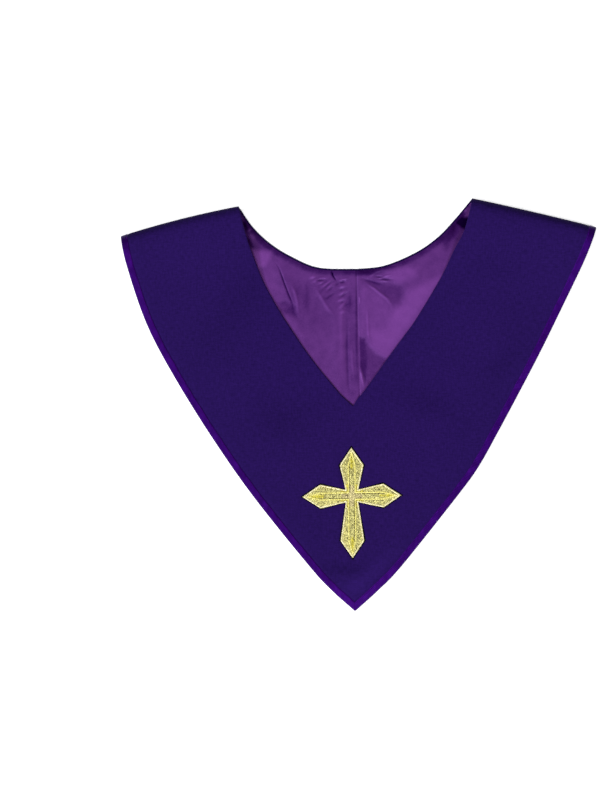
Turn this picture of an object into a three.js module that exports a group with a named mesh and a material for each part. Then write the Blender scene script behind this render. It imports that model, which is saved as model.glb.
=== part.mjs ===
// A server's scapular collar lying flat: a lined V-shaped collar of twill, folded at both shoulders,
// with its front on its back. Seen from above, +Y points to the shoulders and +Z is up.
// The shell is one ring of cloth, sewn to itself down the centre back. The satin lining shows
// through the neck, a satin binding finishes the outer edge, and a stitched cross lies on the front.
import * as THREE from "three";

// Driving dimensions, millimetres.
const shellThickness = 1.3; // twill with its interfacing
const liningThickness = 1;
const bindingWidth = 7.5;
const bindingThickness = 1.9;
const bindingProud = 0.3; // how far the binding stands above the front
const seamGap = 0.3; // between the lining's halves
const bindingGap = 0.4; // between the shell's end and the binding, less where the edge curves
const layerGap = 0.45; // between pieces that lie on each other
const foldHeight = 13; // over the soft roll at each shoulder
const foldReach = 90; // how far from the shoulder the front takes to come down
const frontRest = 3.4; // underside of the front where it lies on the back
const tipDrop = 2.4; // how far the front's point sinks past the back's
const tipDropFrom = -190; // Y where it starts to sink
const liningInset = 1.8; // rim of shell left bare along the neck
const liningMargin = 1.3; // between the lining and the binding
const liningReturn = 38; // length of lining carried past the fold, under the front
const crossCentre = { x: -7.5, y: -95.4 };
const crossTurn = THREE.MathUtils.degToRad(0.8);

// How finely the cloth is cut up.
const rollSteps = 5;
const frontSteps = 22;
const backSteps = 11;
const shellColumns = 12;
const liningSteps = 18;
const liningColumns = 24;
const returnSteps = 3;
const halvings = 40; // steps of the search for a section at a given distance from the fold
const lastTangent = 0.999; // share of an edge past which its direction is taken as constant

// Each row is a section across the cloth, from the neck edge to the outer edge, in plan.
// The first row is the shoulder fold, the second is parallel to it and the last is the centre.
const frontLeft = [
  { neckX: -125.5, neckY: 208, edgeX: -249.5, edgeY: 176.5 },
  { neckX: -119, neckY: 181.5, edgeX: -243, edgeY: 146 },
  { neckX: -110.5, neckY: 156.5, edgeX: -223, edgeY: 86 },
  { neckX: -98.5, neckY: 127, edgeX: -194, edgeY: 30.5 },
  { neckX: -78.5, neckY: 91.5, edgeX: -155, edgeY: -32.5 },
  { neckX: -50, neckY: 49.5, edgeX: -111, edgeY: -95.5 },
  { neckX: -23, neckY: 16, edgeX: -52, edgeY: -169 },
  { neckX: -15, neckY: 7.4, edgeX: -28, edgeY: -195 },
  { neckX: -5.5, neckY: -1, edgeX: -3.5, edgeY: -217 },
];
const frontRight = [
  { neckX: 119, neckY: 216.4, edgeX: 249.5, edgeY: 186 },
  { neckX: 111, neckY: 184, edgeX: 236, edgeY: 150 },
  { neckX: 100.5, neckY: 163, edgeX: 204.5, edgeY: 83 },
  { neckX: 86.5, neckY: 133.5, edgeX: 178, edgeY: 30.5 },
  { neckX: 61.5, neckY: 91.5, edgeX: 144.5, edgeY: -32.5 },
  { neckX: 46.5, neckY: 70.5, edgeX: 125.5, edgeY: -66 },
  { neckX: 31, neckY: 49.5, edgeX: 104, edgeY: -95.5 },
  { neckX: 7, neckY: 16, edgeX: 45.5, edgeY: -169 },
  { neckX: -0.3, neckY: 7.4, edgeX: 20.5, edgeY: -195 },
  { neckX: -5.5, neckY: -1, edgeX: -3.5, edgeY: -217 },
];
const backLeft = [
  { neckX: -125.5, neckY: 208, edgeX: -249.5, edgeY: 176.5 },
  { neckX: -111, neckY: 187, edgeX: -238, edgeY: 154.5 },
  { neckX: -93, neckY: 170, edgeX: -218, edgeY: 91.5 },
  { neckX: -71.5, neckY: 156.5, edgeX: -170.5, edgeY: 3 },
  { neckX: -42.5, neckY: 144.7, edgeX: -101.5, edgeY: -95.5 },
  { neckX: -2, neckY: 143.2, edgeX: 7, edgeY: -194.5 },
];
const backRight = [
  { neckX: 119, neckY: 216.4, edgeX: 249.5, edgeY: 186 },
  { neckX: 102.5, neckY: 196.5, edgeX: 238, edgeY: 164 },
  { neckX: 83.5, neckY: 176.5, edgeX: 205.5, edgeY: 97.5 },
  { neckX: 59.5, neckY: 160, edgeX: 158, edgeY: 5.5 },
  { neckX: 27, neckY: 146.6, edgeX: 96, edgeY: -93.5 },
  { neckX: -2, neckY: 143.2, edgeX: 7, edgeY: -194.5 },
];
const foldBow = { left: 2, right: 0.6 }; // how far each shoulder fold bows outwards

// Soft ridges: where the middle is, the turn of the crest in degrees from +X, half length and
// half width of the swell, and its height.
const frontSwells = [
  { x: -178, y: 62, turn: 35, length: 60, width: 22, height: 1.1 },
  { x: -96, y: -20, turn: -50, length: 75, width: 20, height: 0.8 },
  { x: -30, y: -45, turn: 80, length: 30, width: 16, height: 0.5 },
  { x: 150, y: 70, turn: -32, length: 65, width: 24, height: 1.2 },
  { x: 84, y: -38, turn: 55, length: 70, width: 20, height: 0.9 },
  { x: 36, y: -150, turn: 50, length: 34, width: 12, height: 0.7 },
];
const liningFolds = [
  { x: 22, y: 110, turn: -50, length: 26, width: 6, height: 1.2 },
  { x: -36, y: 112, turn: -52, length: 26, width: 7, height: 1 },
  { x: -78, y: 128, turn: -66, length: 22, width: 6, height: 0.9 },
  { x: 6, y: 78, turn: 88, length: 42, width: 5, height: 1 },
  { x: -14, y: 66, turn: 91, length: 34, width: 6, height: 0.8 },
  { x: 52, y: 112, turn: -20, length: 26, width: 8, height: 0.9 },
];

// The cross: for each arm its angle in degrees, and the distances to its tip and its widest place.
const crossArms = [
  { angle: 0, tip: 51.8, wide: 33 },
  { angle: 90, tip: 50.8, wide: 32.5 },
  { angle: 180, tip: 51.8, wide: 33 },
  { angle: 270, tip: 65.4, wide: 46.8 },
];
const crossHalfWidth = 12.6; // at an arm's widest place
const crossWaist = 6; // from the centre to each inner corner, along X and along Y
const crossEdgeSteps = 3; // pieces in each straight edge

// Rings of the cross, from its outline inwards: how far each is pulled in at the arms' sides, at
// the inner corners, at the tips and at the widest place, and its height above the front.
const crossRings = [
  { side: 0, corner: 0, tip: 0, wide: 0, height: 1.1 }, // outside of the satin-stitched border
  { side: 1.5, corner: 1.1, tip: 2.5, wide: 0, height: 1.1 }, // inside of the border
  { side: 2.2, corner: 1.5, tip: 3.6, wide: 0, height: 0.75 }, // flat fill
  { side: 9.4, corner: 2.8, tip: 5, wide: 3, height: 0.75 }, // foot of the spine along each arm
  { side: 10.4, corner: 3.8, tip: 6.4, wide: 4, height: 1.15 }, // top of the spine
];

// Outline of the binding's section: shares of its width, from the outer edge, and of its thickness.
const bindingSection = [
  { across: 0, up: 0.28 },
  { across: 0.12, up: 0 },
  { across: 0.86, up: 0 },
  { across: 1, up: 0.24 },
  { across: 1, up: 0.76 },
  { across: 0.86, up: 1 },
  { across: 0.12, up: 1 },
  { across: 0, up: 0.72 },
];

const smooth = (x) => THREE.MathUtils.smoothstep(x, 0, 1);
const halfShell = shellThickness / 2;
const rollCentre = foldHeight / 2;
const rollRadius = rollCentre - halfShell; // of the middle of the shell's wall

// Height at a place in plan of a set of soft ridges.
function swell(ridges, x, y) {
  let height = 0;
  for (const ridge of ridges) {
    const turn = THREE.MathUtils.degToRad(ridge.turn);
    const along = (x - ridge.x) * Math.cos(turn) + (y - ridge.y) * Math.sin(turn);
    const across = (y - ridge.y) * Math.cos(turn) - (x - ridge.x) * Math.sin(turn);
    height += ridge.height * Math.exp(-((along / ridge.length) ** 2) - (across / ridge.width) ** 2);
  }
  return height;
}

// Height of the middle of the shell, at a distance in plan from the shoulder fold.
function rollHeight(distance) {
  const reach = Math.max(0, rollRadius - distance);
  return Math.sqrt(rollRadius ** 2 - reach ** 2);
}

function backHeight(distance) {
  return rollCentre - rollHeight(distance);
}

function frontHeight(distance, x, y) {
  const down = smooth((distance - rollRadius) / foldReach);
  const fall = rollCentre + rollRadius - frontRest - halfShell;
  const drop = tipDrop * smooth((y - tipDropFrom) / (frontLeft.at(-1).edgeY - tipDropFrom));
  return rollCentre + rollHeight(distance) - fall * down - drop + down * swell(frontSwells, x, y);
}

// One quarter of the ring of cloth: its sections as smooth curves, and its height.
function quarter(rows, isFront, bow) {
  const neckLine = new THREE.SplineCurve(rows.map((r) => new THREE.Vector2(r.neckX, r.neckY)));
  const outerLine = new THREE.SplineCurve(rows.map((r) => new THREE.Vector2(r.edgeX, r.edgeY)));
  const neckEnd = neckLine.getPoint(0);
  const outerEnd = outerLine.getPoint(0);
  const foldLine = outerEnd.clone().sub(neckEnd).normalize();
  const outwards = new THREE.Vector2(-foldLine.y, foldLine.x).multiplyScalar(Math.sign(foldLine.x));

  // A place on the section at t (0 at the fold, 1 at the centre), across from the neck (0) to the edge (1).
  function flat(t, across) {
    return neckLine.getPoint(t).lerp(outerLine.getPoint(t), across);
  }

  function foldDistance(t, across) {
    const onFold = neckEnd.clone().lerp(outerEnd, across);
    return onFold.sub(flat(t, across)).dot(outwards);
  }

  return {
    // t of the section that lies at a distance from the fold
    sectionAt(distance) {
      let low = 0;
      let high = 1;
      for (let i = 0; i < halvings; i++) {
        const t = (low + high) / 2;
        if (foldDistance(t, 0.5) < distance) low = t;
        else high = t;
      }
      return high;
    },
    // share of the section taken up, at the outer edge, by a band of a given width
    bandShare(t, width) {
      const section = outerLine.getPoint(t).sub(neckLine.getPoint(t));
      const tangent = outerLine.getTangent(Math.min(t, lastTangent));
      return width / Math.abs(section.cross(tangent));
    },
    neckShare(t, width) {
      return width / outerLine.getPoint(t).distanceTo(neckLine.getPoint(t));
    },
    proud(t) {
      return isFront ? bindingProud * smooth(foldDistance(t, 1) / foldReach) : 0;
    },
    isFront,
    point(t, across) {
      const distance = foldDistance(t, across);
      const fade = Math.max(0, 1 - distance / foldReach);
      const place = flat(t, across).addScaledVector(outwards, bow * 4 * across * (1 - across) * fade);
      const height = isFront ? frontHeight(distance, place.x, place.y) : backHeight(distance);
      return new THREE.Vector3(place.x, place.y, height);
    },
  };
}

// The sections of a quarter from the fold to the centre: close together round the roll.
function stations(part, steps) {
  const list = [];
  for (let i = 0; i <= rollSteps; i++) {
    const angle = (i / rollSteps) * (Math.PI / 2);
    const distance = rollRadius * (1 - Math.cos(angle));
    list.push({ part, t: i === 0 ? 0 : part.sectionAt(distance) });
  }
  const start = list.at(-1).t;
  for (let i = 1; i <= steps; i++) list.push({ part, t: start + ((1 - start) * i) / steps });
  return list;
}

const quarters = {
  frontLeft: quarter(frontLeft, true, foldBow.left),
  frontRight: quarter(frontRight, true, foldBow.right),
  backLeft: quarter(backLeft, false, foldBow.left),
  backRight: quarter(backRight, false, foldBow.right),
};

// All round the collar: centre back, left fold, centre front, right fold, centre back.
const ring = [
  ...stations(quarters.backLeft, backSteps).reverse(),
  ...stations(quarters.frontLeft, frontSteps).slice(1),
  ...stations(quarters.frontRight, frontSteps).reverse().slice(1),
  ...stations(quarters.backRight, backSteps).slice(1),
];

// Normals of a grid of points, pointing to the outside of the collar. Columns run away from the neck.
function normalsOf(grid, closed = false) {
  const last = grid.length - 1;
  const rowAt = (i) => grid[closed ? (i + grid.length) % grid.length : Math.min(Math.max(i, 0), last)];
  return grid.map((row, i) =>
    row.map((_, j) => {
      const along = rowAt(i + 1)[j].clone().sub(rowAt(i - 1)[j]);
      const across = row[Math.min(j + 1, row.length - 1)].clone().sub(row[Math.max(j - 1, 0)]);
      return across.cross(along).normalize();
    }),
  );
}

function solid(positions, faces) {
  const geometry = new THREE.BufferGeometry().setFromPoints(positions);
  geometry.setIndex(faces);
  geometry.computeVertexNormals();
  return geometry;
}

// A wall of cloth on a grid of points. outer and inner give the distance of its two faces from
// the grid at row i and column j, along the normal.
function wall(grid, outer, inner) {
  const normals = normalsOf(grid);
  const rows = grid.length;
  const columns = grid[0].length;
  const face = (offset) => grid.flatMap((row, i) =>
    row.map((p, j) => p.clone().addScaledVector(normals[i][j], offset(i, j))),
  );
  const at = (i, j) => i * columns + j;
  const under = (i, j) => rows * columns + at(i, j);
  const faces = [];
  const quad = (a, b, c, d) => faces.push(a, b, c, a, c, d);
  for (let i = 0; i < rows - 1; i++) {
    for (let j = 0; j < columns - 1; j++) {
      quad(at(i, j), at(i, j + 1), at(i + 1, j + 1), at(i + 1, j));
      quad(under(i, j), under(i + 1, j), under(i + 1, j + 1), under(i, j + 1));
    }
    quad(at(i, 0), at(i + 1, 0), under(i + 1, 0), under(i, 0));
    quad(at(i + 1, columns - 1), at(i, columns - 1), under(i, columns - 1), under(i + 1, columns - 1));
  }
  for (let j = 0; j < columns - 1; j++) {
    quad(at(0, j + 1), at(0, j), under(0, j), under(0, j + 1));
    quad(at(rows - 1, j), at(rows - 1, j + 1), under(rows - 1, j + 1), under(rows - 1, j));
  }
  return solid([...face(outer), ...face(inner)], faces);
}

// Opens the centre-back seam: moves a row of points off the centre line.
function partSeam(row, side) {
  for (const point of row) point.x += (side * seamGap) / 2;
}

function shellGeometry() {
  const grid = ring.map(({ part, t }) => {
    const end = 1 - part.bandShare(t, bindingWidth + bindingGap);
    return Array.from({ length: shellColumns + 1 }, (_, j) => part.point(t, (end * j) / shellColumns));
  });
  partSeam(grid[0], -1);
  partSeam(grid.at(-1), 1);
  return wall(grid, () => halfShell, () => -halfShell);
}

function liningGeometry(back, front, side) {
  const returnEnd = front.sectionAt(liningReturn);
  const overFold = stations(front, 0).slice(1);
  const rollEnd = overFold.at(-1).t;
  for (let i = 1; i <= returnSteps; i++) {
    overFold.push({ part: front, t: rollEnd + ((returnEnd - rollEnd) * i) / returnSteps });
  }
  const path = [...stations(back, liningSteps).reverse(), ...overFold];
  const grid = path.map(({ part, t }) => {
    const start = part.neckShare(t, liningInset);
    const end = 1 - part.bandShare(t, bindingWidth + liningMargin);
    return Array.from({ length: liningColumns + 1 }, (_, j) =>
      part.point(t, start + ((end - start) * j) / liningColumns),
    );
  });
  partSeam(grid[0], side);
  if (side > 0) grid.reverse();
  const outer = -halfShell - layerGap;
  const ordered = side > 0 ? [...path].reverse() : path;
  const relief = (i, j) => (ordered[i].part.isFront ? 0 : swell(liningFolds, grid[i][j].x, grid[i][j].y));
  return wall(grid, () => outer, (i, j) => outer - liningThickness - relief(i, j));
}

// The binding: one closed strip round the outer edge, over both folds, mitred at the points.
function bindingGeometry() {
  const loop = ring.slice(0, -1);
  const grid = loop.map(({ part, t }) =>
    [1 - part.bandShare(t, bindingWidth), 1].map((across) => part.point(t, across)),
  );
  const normals = normalsOf(grid, true);
  // At the centre back the strip's outer face points straight down.
  const positions = grid.flatMap(([inner, edge], i) => {
    const { part, t } = loop[i];
    const normal = i === 0 ? new THREE.Vector3(0, 0, -1) : normals[i][1];
    const top = halfShell + part.proud(t);
    return bindingSection.map(({ across, up }) =>
      edge.clone().lerp(inner, across).addScaledVector(normal, top - bindingThickness * (1 - up)),
    );
  });
  const sides = bindingSection.length;
  const faces = [];
  for (let i = 0; i < loop.length; i++) {
    const next = (i + 1) % loop.length;
    for (let k = 0; k < sides; k++) {
      const [a, b] = [i * sides + k, i * sides + ((k + 1) % sides)];
      const [c, d] = [next * sides + ((k + 1) % sides), next * sides + k];
      faces.push(a, b, c, a, c, d);
    }
  }
  return solid(positions, faces);
}

// One ring of the cross in plan, closed.
function crossOutline(ring) {
  const waist = crossWaist - ring.corner;
  const halfWidth = crossHalfWidth - ring.side;
  const corners = crossArms.flatMap(({ angle, tip, wide }) => {
    const turn = THREE.MathUtils.degToRad(angle) + crossTurn;
    const local = [
      [waist, -waist],
      [wide - ring.wide, -halfWidth],
      [tip - ring.tip, 0],
      [wide - ring.wide, halfWidth],
    ];
    return local.map(([along, across]) => new THREE.Vector2(
      crossCentre.x + along * Math.cos(turn) - across * Math.sin(turn),
      crossCentre.y + along * Math.sin(turn) + across * Math.cos(turn),
    ));
  });
  return corners.flatMap((corner, i) => {
    const next = corners[(i + 1) % corners.length];
    const share = (k) => k / crossEdgeSteps;
    return Array.from({ length: crossEdgeSteps }, (_, k) => corner.clone().lerp(next, share(k)));
  });
}

function crossGeometry() {
  const [rim, , fill, , spine] = crossRings;
  const base = [spine, fill, rim].map((ring) => ({ ...ring, height: 0 }));
  const layers = [...base, ...crossRings];
  const onFront = ({ x, y }, height) => new THREE.Vector3(
    x, y, frontHeight(Infinity, x, y) + halfShell + layerGap + height,
  );
  const positions = layers.flatMap((ring) => crossOutline(ring).map((p) => onFront(p, ring.height)));
  const count = positions.length / layers.length;
  const faces = [];
  for (let layer = 0; layer < layers.length - 1; layer++) {
    for (let k = 0; k < count; k++) {
      const [a, b] = [layer * count + k, layer * count + ((k + 1) % count)];
      faces.push(a, b, b + count, a, b + count, a + count);
    }
  }
  const bottom = positions.push(onFront(crossCentre, 0)) - 1;
  const top = positions.push(onFront(crossCentre, spine.height)) - 1;
  const lastRing = (layers.length - 1) * count;
  for (let k = 0; k < count; k++) {
    const next = (k + 1) % count;
    faces.push(bottom, next, k, top, lastRing + k, lastRing + next);
  }
  return solid(positions, faces);
}

const twill = new THREE.MeshStandardMaterial({ color: "#281558", roughness: 0.85, metalness: 0 });
const liningSatin = new THREE.MeshStandardMaterial({ color: "#6c388a", roughness: 0.4, metalness: 0 });
const bindingSatin = new THREE.MeshStandardMaterial({ color: "#380c6e", roughness: 0.45, metalness: 0 });
const goldThread = new THREE.MeshStandardMaterial({ color: "#c7bd79", roughness: 0.4, metalness: 0.6 });

const { frontLeft: frontL, frontRight: frontR, backLeft: backL, backRight: backR } = quarters;
const pieces = [
  { name: "shell", geometry: shellGeometry(), material: twill },
  { name: "lining_left", geometry: liningGeometry(backL, frontL, -1), material: liningSatin },
  { name: "lining_right", geometry: liningGeometry(backR, frontR, 1), material: liningSatin },
  { name: "edge_binding", geometry: bindingGeometry(), material: bindingSatin },
  { name: "cross", geometry: crossGeometry(), material: goldThread },
];

const collar = new THREE.Group();
for (const { name, geometry, material } of pieces) {
  const mesh = new THREE.Mesh(geometry, material);
  mesh.name = name;
  collar.add(mesh);
}

export default collar;
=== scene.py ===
import math

import bpy
import numpy as np
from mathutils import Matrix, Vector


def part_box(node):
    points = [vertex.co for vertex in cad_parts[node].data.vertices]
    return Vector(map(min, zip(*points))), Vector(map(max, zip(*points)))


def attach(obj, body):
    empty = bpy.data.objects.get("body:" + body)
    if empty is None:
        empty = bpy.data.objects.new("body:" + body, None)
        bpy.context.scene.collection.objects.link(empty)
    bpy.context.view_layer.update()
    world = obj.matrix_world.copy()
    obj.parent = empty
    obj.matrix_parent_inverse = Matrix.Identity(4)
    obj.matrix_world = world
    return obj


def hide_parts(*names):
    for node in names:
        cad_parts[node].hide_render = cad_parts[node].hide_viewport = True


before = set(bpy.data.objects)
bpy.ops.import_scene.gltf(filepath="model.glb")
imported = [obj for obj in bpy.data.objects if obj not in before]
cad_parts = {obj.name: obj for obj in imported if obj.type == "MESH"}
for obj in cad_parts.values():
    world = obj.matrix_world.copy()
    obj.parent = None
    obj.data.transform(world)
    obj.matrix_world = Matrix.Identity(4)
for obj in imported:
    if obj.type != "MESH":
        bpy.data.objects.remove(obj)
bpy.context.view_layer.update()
mm = 0.001
print("frame of", len(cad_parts), "solids")

# The collar's cut in mm, with the same sections as its solids. A row is neck x and y, then outer
# edge x and y. The first row is the shoulder fold and the last is the centre.
collar = {
    "frontLeft": [
        (-125.5, 208, -249.5, 176.5),
        (-119, 181.5, -243, 146),
        (-110.5, 156.5, -223, 86),
        (-98.5, 127, -194, 30.5),
        (-78.5, 91.5, -155, -32.5),
        (-50, 49.5, -111, -95.5),
        (-23, 16, -52, -169),
        (-15, 7.4, -28, -195),
        (-5.5, -1, -3.5, -217),
    ],
    "frontRight": [
        (119, 216.4, 249.5, 186),
        (111, 184, 236, 150),
        (100.5, 163, 204.5, 83),
        (86.5, 133.5, 178, 30.5),
        (61.5, 91.5, 144.5, -32.5),
        (46.5, 70.5, 125.5, -66),
        (31, 49.5, 104, -95.5),
        (7, 16, 45.5, -169),
        (-0.3, 7.4, 20.5, -195),
        (-5.5, -1, -3.5, -217),
    ],
    "backLeft": [
        (-125.5, 208, -249.5, 176.5),
        (-111, 187, -238, 154.5),
        (-93, 170, -218, 91.5),
        (-71.5, 156.5, -170.5, 3),
        (-42.5, 144.7, -101.5, -95.5),
        (-2, 143.2, 7, -194.5),
    ],
    "backRight": [
        (119, 216.4, 249.5, 186),
        (102.5, 196.5, 238, 164),
        (83.5, 176.5, 205.5, 97.5),
        (59.5, 160, 158, 5.5),
        (27, 146.6, 96, -93.5),
        (-2, 143.2, 7, -194.5),
    ],
    "foldHeight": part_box("shell")[1].z / mm,
    "foldReach": 90,  # how far from the shoulder the front takes to come down
    "foldSoftness": 11,  # how far in from the shoulder the cloth goes on rising
    "frontRest": 3.4,  # underside of the front where it lies on the back
    "tipDrop": 2.4,
    "tipDropFrom": -190,
    "bow": {"Left": 2, "Right": 0.6},
    "wall": 1.3,
    "bindingWidth": 7.5,
    "rollRows": 12,  # sections round each half of a shoulder fold
}
rollCentre = collar["foldHeight"] / 2
rollRadius = rollCentre - collar["wall"] / 2  # of the middle of the wall

# Broad swells of the front: x, y, turn of the crest in degrees, half length, half width, height.
frontSwells = [
    (-178, 62, 35, 60, 22, 1.1),
    (-96, -20, -50, 75, 20, 0.8),
    (-30, -45, 80, 30, 16, 0.5),
    (150, 70, -32, 65, 24, 1.2),
    (84, -38, 55, 70, 20, 0.9),
    (36, -150, 50, 34, 12, 0.7),
]


def smooth(x):
    x = np.clip(x, 0, 1)
    return x * x * (3 - 2 * x)


def bell(x):
    return np.exp(-(x**2))


def ridges(rows, x, y):
    total = np.zeros_like(x)
    for ridgeX, ridgeY, turn, length, width, height in rows:
        c, s = math.cos(math.radians(turn)), math.sin(math.radians(turn))
        along = (x - ridgeX) * c + (y - ridgeY) * s
        across = (y - ridgeY) * c - (x - ridgeX) * s
        total += height * bell(along / length) * bell(across / width)
    return total


def rollHeight(distance):
    reach = np.maximum(0, rollRadius - distance)
    return np.sqrt(np.maximum(0, rollRadius**2 - reach**2))


# The same for the front, whose roll is wider and rises more slowly.
def softRollHeight(distance):
    reach = np.maximum(0, 1 - distance / collar["foldSoftness"])
    return rollRadius * np.sqrt(np.maximum(0, 1 - reach**2))


# Height of the middle of the front's wall, at a distance in plan from the shoulder fold.
def frontMiddle(distance, x, y):
    down = smooth((distance - rollRadius) / collar["foldReach"])
    fall = rollCentre + rollRadius - collar["frontRest"] - collar["wall"] / 2
    tipY = collar["frontLeft"][-1][3]
    sunk = smooth((y - collar["tipDropFrom"]) / (tipY - collar["tipDropFrom"]))
    swell = down * ridges(frontSwells, x, y)
    return rollCentre + softRollHeight(distance) - fall * down - collar["tipDrop"] * sunk + swell


# Places at shares t of a smooth line through points.
def splineAt(points, t):
    last = len(points) - 1
    place = np.clip(t, 0, 1) * last
    i = np.floor(place).astype(int)
    w = (place - i)[..., None]
    p0, p1 = points[np.maximum(i - 1, 0)], points[i]
    p2, p3 = points[np.minimum(i + 1, last)], points[np.minimum(i + 2, last)]
    v0, v1 = (p2 - p0) / 2, (p3 - p1) / 2
    return (2 * p1 - 2 * p2 + v0 + v1) * w**3 + (3 * p2 - 3 * p1 - 2 * v0 - v1) * w**2 + v0 * w + p1


# One quarter of the ring of cloth, from a shoulder fold to a centre.
def makeQuarter(name):
    rows = np.array(collar[name], float)
    neck, edge = rows[:, :2], rows[:, 2:]
    fold = (edge[0] - neck[0]) / np.linalg.norm(edge[0] - neck[0])
    outwards = np.array([-fold[1], fold[0]]) * np.sign(fold[0])
    side = "Left" if name.endswith("Left") else "Right"
    front = name.startswith("front")
    return {"neck": neck, "edge": edge, "out": outwards, "front": front, "bow": collar["bow"][side]}


quarters = {n: makeQuarter(n) for n in ("frontLeft", "frontRight", "backLeft", "backRight")}


def foldDistance(quarter, plan, across):
    onFold = quarter["neck"][0] + (quarter["edge"][0] - quarter["neck"][0]) * across[..., None]
    return (onFold - plan) @ quarter["out"]


# Places on the middle of the wall for shares t down the quarter and across it, then the same
# places on the cloth before it was folded, then their distance from the fold.
def surfaceAt(quarter, t, across):
    neck, edge = splineAt(quarter["neck"], t), splineAt(quarter["edge"], t)
    plan = neck + (edge - neck) * across[..., None]
    distance = foldDistance(quarter, plan, across)
    fade = np.maximum(0, 1 - distance / collar["foldReach"])
    bow = quarter["bow"] * 4 * across * (1 - across) * fade
    plan = plan + quarter["out"] * bow[..., None]
    x, y = plan[..., 0], plan[..., 1]
    z = frontMiddle(distance, x, y) if quarter["front"] else rollCentre - rollHeight(distance)
    turned = rollRadius * np.arccos(np.clip(1 - distance / rollRadius, 0, 1))
    unrolled = turned + np.maximum(0, distance - rollRadius)
    shift = distance - unrolled if quarter["front"] else distance + unrolled
    grain = plan + quarter["out"] * shift[..., None]
    return np.dstack([plan, z]), np.dstack([grain, 0 * z]), distance


# Share of a section that a band of a given width takes up at the outer edge.
def bandShare(quarter, t, width):
    step = 0.0005
    t = np.clip(t, step, 1 - step)
    section = splineAt(quarter["edge"], t) - splineAt(quarter["neck"], t)
    tangent = splineAt(quarter["edge"], t + step) - splineAt(quarter["edge"], t - step)
    tangent /= np.linalg.norm(tangent, axis=-1, keepdims=True)
    return width / np.abs(section[..., 0] * tangent[..., 1] - section[..., 1] * tangent[..., 0])


def sectionWidth(quarter, t):
    return np.linalg.norm(splineAt(quarter["edge"], t) - splineAt(quarter["neck"], t), axis=-1)


# The section whose middle lies at a distance from the fold, found by halving.
def sectionAt(quarter, distance):
    low, high = 0.0, 1.0
    half = np.array(0.5)
    for _ in range(30):
        t = np.array((low + high) / 2)
        middle = (splineAt(quarter["neck"], t) + splineAt(quarter["edge"], t)) / 2
        if foldDistance(quarter, middle, half) < distance:
            low = float(t)
        else:
            high = float(t)
    return high


# Sections from the fold on, close together round its roll, then even up to the last one.
def stations(quarter, rows, last=1.0):
    turns = np.arange(1, collar["rollRows"] + 1) / collar["rollRows"] * math.pi / 2
    rolled = [0.0] + [sectionAt(quarter, rollRadius * (1 - math.cos(a))) for a in turns]
    return np.array(rolled + list(np.linspace(rolled[-1], last, rows + 1)[1:]))


# The whole ring: centre back, left fold, centre front, right fold, centre back.
def ringGrid(acrossAt, frontRows, backRows):
    order = [("backLeft", backRows, -1), ("frontLeft", frontRows, 1)]
    order += [("frontRight", frontRows, -1), ("backRight", backRows, 1)]
    parts = []
    for name, rows, step in order:
        quarter = quarters[name]
        t = stations(quarter, rows)[::step][1 if parts else 0 :]
        across = acrossAt(quarter, t)
        place, grain, distance = surfaceAt(quarter, t[:, None] + 0 * across, across)
        parts.append((place, grain, distance, 0 * distance + quarter["front"]))
    return [np.concatenate([part[k] for part in parts]) for k in range(4)]


# Normals of a grid of points whose columns run away from the neck: they point out of the collar.
def normalsOf(grid):
    normals = np.cross(np.gradient(grid, axis=1), np.gradient(grid, axis=0))
    return normals / np.linalg.norm(normals, axis=-1, keepdims=True)


# Distances along the rows of a grid, from its first column.
def alongRows(grid):
    steps = np.linalg.norm(np.diff(grid, axis=1), axis=-1)
    return np.hstack([np.zeros((len(grid), 1)), np.cumsum(steps, axis=1)])


# An object of one mesh at the origin, from points in mm.
def newPiece(name, points, faces, material, attributes, edges=()):
    mesh = bpy.data.meshes.new(name)
    mesh.from_pydata((np.asarray(points) * mm).tolist(), list(edges), faces)
    for key, values in attributes.items():
        layer = mesh.attributes.new(key, "FLOAT" if values.ndim == 1 else "FLOAT_VECTOR", "POINT")
        layer.data.foreach_set("value" if values.ndim == 1 else "vector", values.astype("f").ravel())
    if material:
        mesh.materials.append(material)
    mesh.polygons.foreach_set("use_smooth", [True] * len(mesh.polygons))
    piece = bpy.data.objects.new(name, mesh)
    bpy.context.scene.collection.objects.link(piece)
    return piece


# A wall of cloth from its outer and inner sides, which are grids of the same size. Its sections
# are loops, and the two end ones are closed.
def newWall(name, outer, inner, material, **attributes):
    rows, columns = outer.shape[:2]
    loop = 2 * columns
    points = np.concatenate([outer, inner[:, ::-1]], axis=1)
    values = {k: np.concatenate([v, v[:, ::-1]], axis=1) for k, v in attributes.items()}
    values = {k: v.reshape(-1, 3) if v.ndim == 3 else v.ravel() for k, v in values.items()}
    faces = []
    for a in range(0, (rows - 1) * loop, loop):
        b = a + loop
        faces += [(a + j, a + (j + 1) % loop, b + (j + 1) % loop, b + j) for j in range(loop)]
    end = (rows - 1) * loop
    for j in range(columns - 1):
        faces.append((j + 1, j, loop - 1 - j, loop - 2 - j))
        faces.append((end + j, end + j + 1, end + loop - 2 - j, end + loop - 1 - j))
    print(name, rows, "sections of", loop)
    return newPiece(name, points.reshape(-1, 3), faces, material, values)


def linear(hexCode):
    parts = [int(hexCode[k : k + 2], 16) / 255 for k in (1, 3, 5)]
    return tuple(c / 12.92 if c <= 0.04045 else ((c + 0.055) / 1.055) ** 2.4 for c in parts) + (1,)


# Adds a node with its settings, the values of its sockets and the outputs linked into them.
def addNode(tree, kind, settings=None, values=None, links=None):
    node = tree.nodes.new(kind)
    for key, value in (settings or {}).items():
        setattr(node, key, value)
    for key, value in (values or {}).items():
        node.inputs[key].default_value = value
    for key, output in (links or {}).items():
        tree.links.new(output, node.inputs[key])
    return node


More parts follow.
